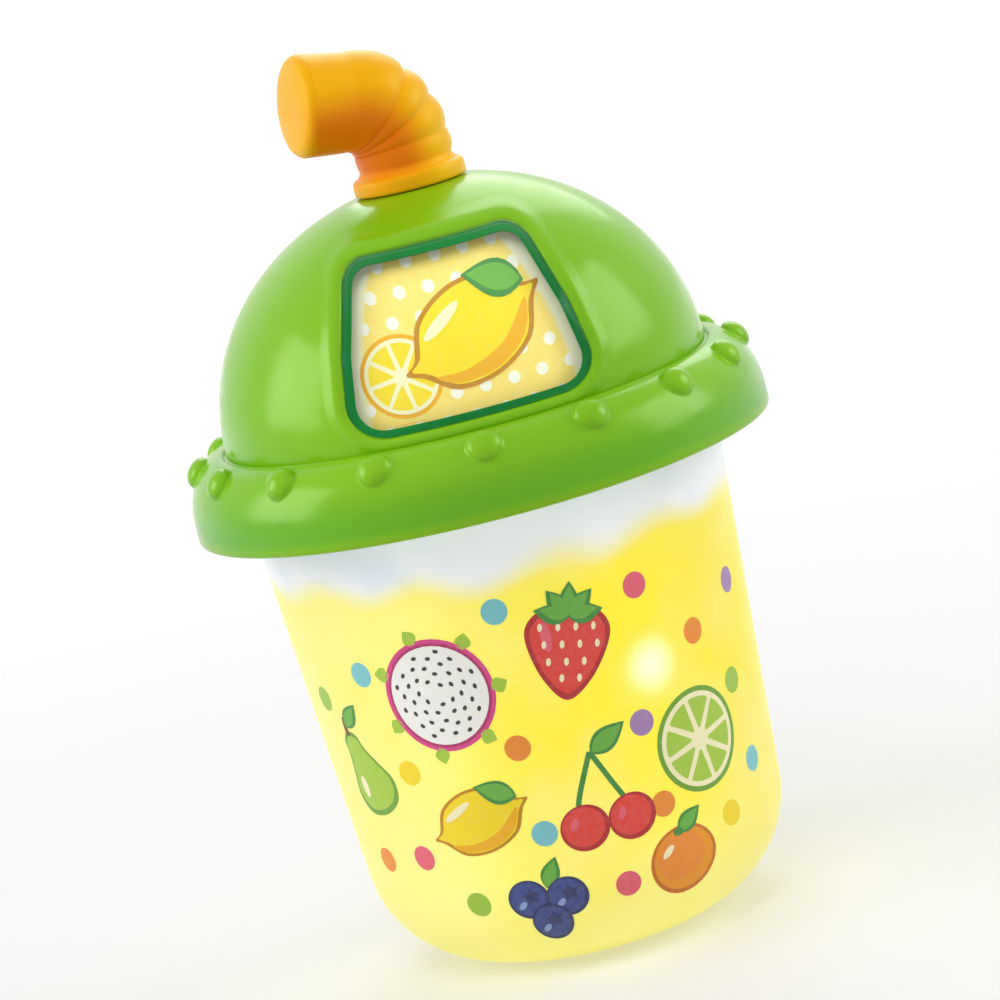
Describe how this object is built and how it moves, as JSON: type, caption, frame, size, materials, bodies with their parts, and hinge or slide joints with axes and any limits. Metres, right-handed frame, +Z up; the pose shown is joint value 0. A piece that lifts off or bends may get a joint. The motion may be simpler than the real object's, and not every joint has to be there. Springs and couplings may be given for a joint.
{
  "type": "toy smoothie cup",
  "caption": "Toddler's smoothie-cup toy: tapered light-up cup, studded domed lid with a picture window, and a bent straw that turns the picture drum behind the window.",
  "frame": {"origin": "centre of the cup's flat base, on the surface that the toy stands on", "axes": "+Z up along the cup's axis; the picture window faces -Y and the battery door faces +Y"},
  "size_m": [0.124, 0.124, 0.1968],
  "materials": {
    "lid_green": "smooth moulded ABS with a satin gloss",
    "window_clear": "clear polystyrene, polished",
    "straw_orange": "smooth moulded ABS, satin",
    "printed_picture": "white plastic with printed pictures",
    "cup_milky": "translucent milky polypropylene, lit from inside",
    "inner_white": "white moulded ABS",
    "knob_white": "white moulded POM, satin",
    "screw_steel": "zinc-plated steel",
    "spring_steel": "nickel-plated spring steel",
    "contact_copper": "phosphor bronze",
    "board_green": "green solder mask on fibreglass",
    "part_black": "black moulded plastic and epoxy",
    "lamp_clear": "clear epoxy lamp body",
    "cell_wrap": "shrink sleeve on a battery cell",
    "cable_grey": "PVC flat cable"
  },
  "bodies": {
    "cup_and_lid": {"lid_dome": "lid_green", "window_lens": "window_clear", "lid_base": "lid_green", "lid_screw_1": "screw_steel", "lid_screw_2": "screw_steel", "lid_screw_3": "screw_steel", "lid_screw_4": "screw_steel", "lid_screw_5": "screw_steel", "lid_screw_6": "screw_steel", "mechanism_plate": "inner_white", "detent_spring": "spring_steel", "position_board": "board_green", "ribbon_cable": "cable_grey", "cup_shell": "cup_milky", "top_liner": "inner_white", "battery_box": "inner_white", "box_screw_left": "screw_steel", "box_screw_right": "screw_steel", "battery_cell_lower": "cell_wrap", "battery_cell_upper": "cell_wrap", "bridge_contact": "spring_steel", "spring_contact": "spring_steel", "tab_contact": "spring_steel", "main_board": "board_green", "board_screw_left": "screw_steel", "board_screw_right": "screw_steel", "controller_chip": "part_black", "motion_sensor": "spring_steel", "lamp_left": "lamp_clear", "lamp_right": "lamp_clear", "lamp_low": "lamp_clear", "speaker": "part_black", "speaker_clamp": "inner_white", "clamp_screw_left": "screw_steel", "clamp_screw_right": "screw_steel", "speaker_lead": "part_black", "switch_body": "part_black"},
    "straw_and_drum": {"straw": "straw_orange", "straw_shaft": "knob_white", "spindle_washer": "spring_steel", "picture_drum": "printed_picture", "drum_screw": "screw_steel", "wiper_contact": "contact_copper"},
    "power_switch": {"switch_knob": "knob_white"},
    "battery_cover": {"battery_door": "cup_milky", "door_screw": "screw_steel"}
  },
  "joints": [
    {"name": "straw_turn", "type": "hinge", "parent": "cup_and_lid", "child": "straw_and_drum", "pos_m": [0, 0, 0.16], "axis": [0, 0, 1], "continuous": true},
    {"name": "switch_slide", "type": "slide", "parent": "cup_and_lid", "child": "power_switch", "axis": [0.6691, -0.7431, 0], "range_m": [-0.0035, 0.0035]},
    {"name": "battery_door_off", "type": "slide", "parent": "cup_and_lid", "child": "battery_cover", "axis": [0, 1, 0], "range_m": [0, 0.03]}
  ]
}
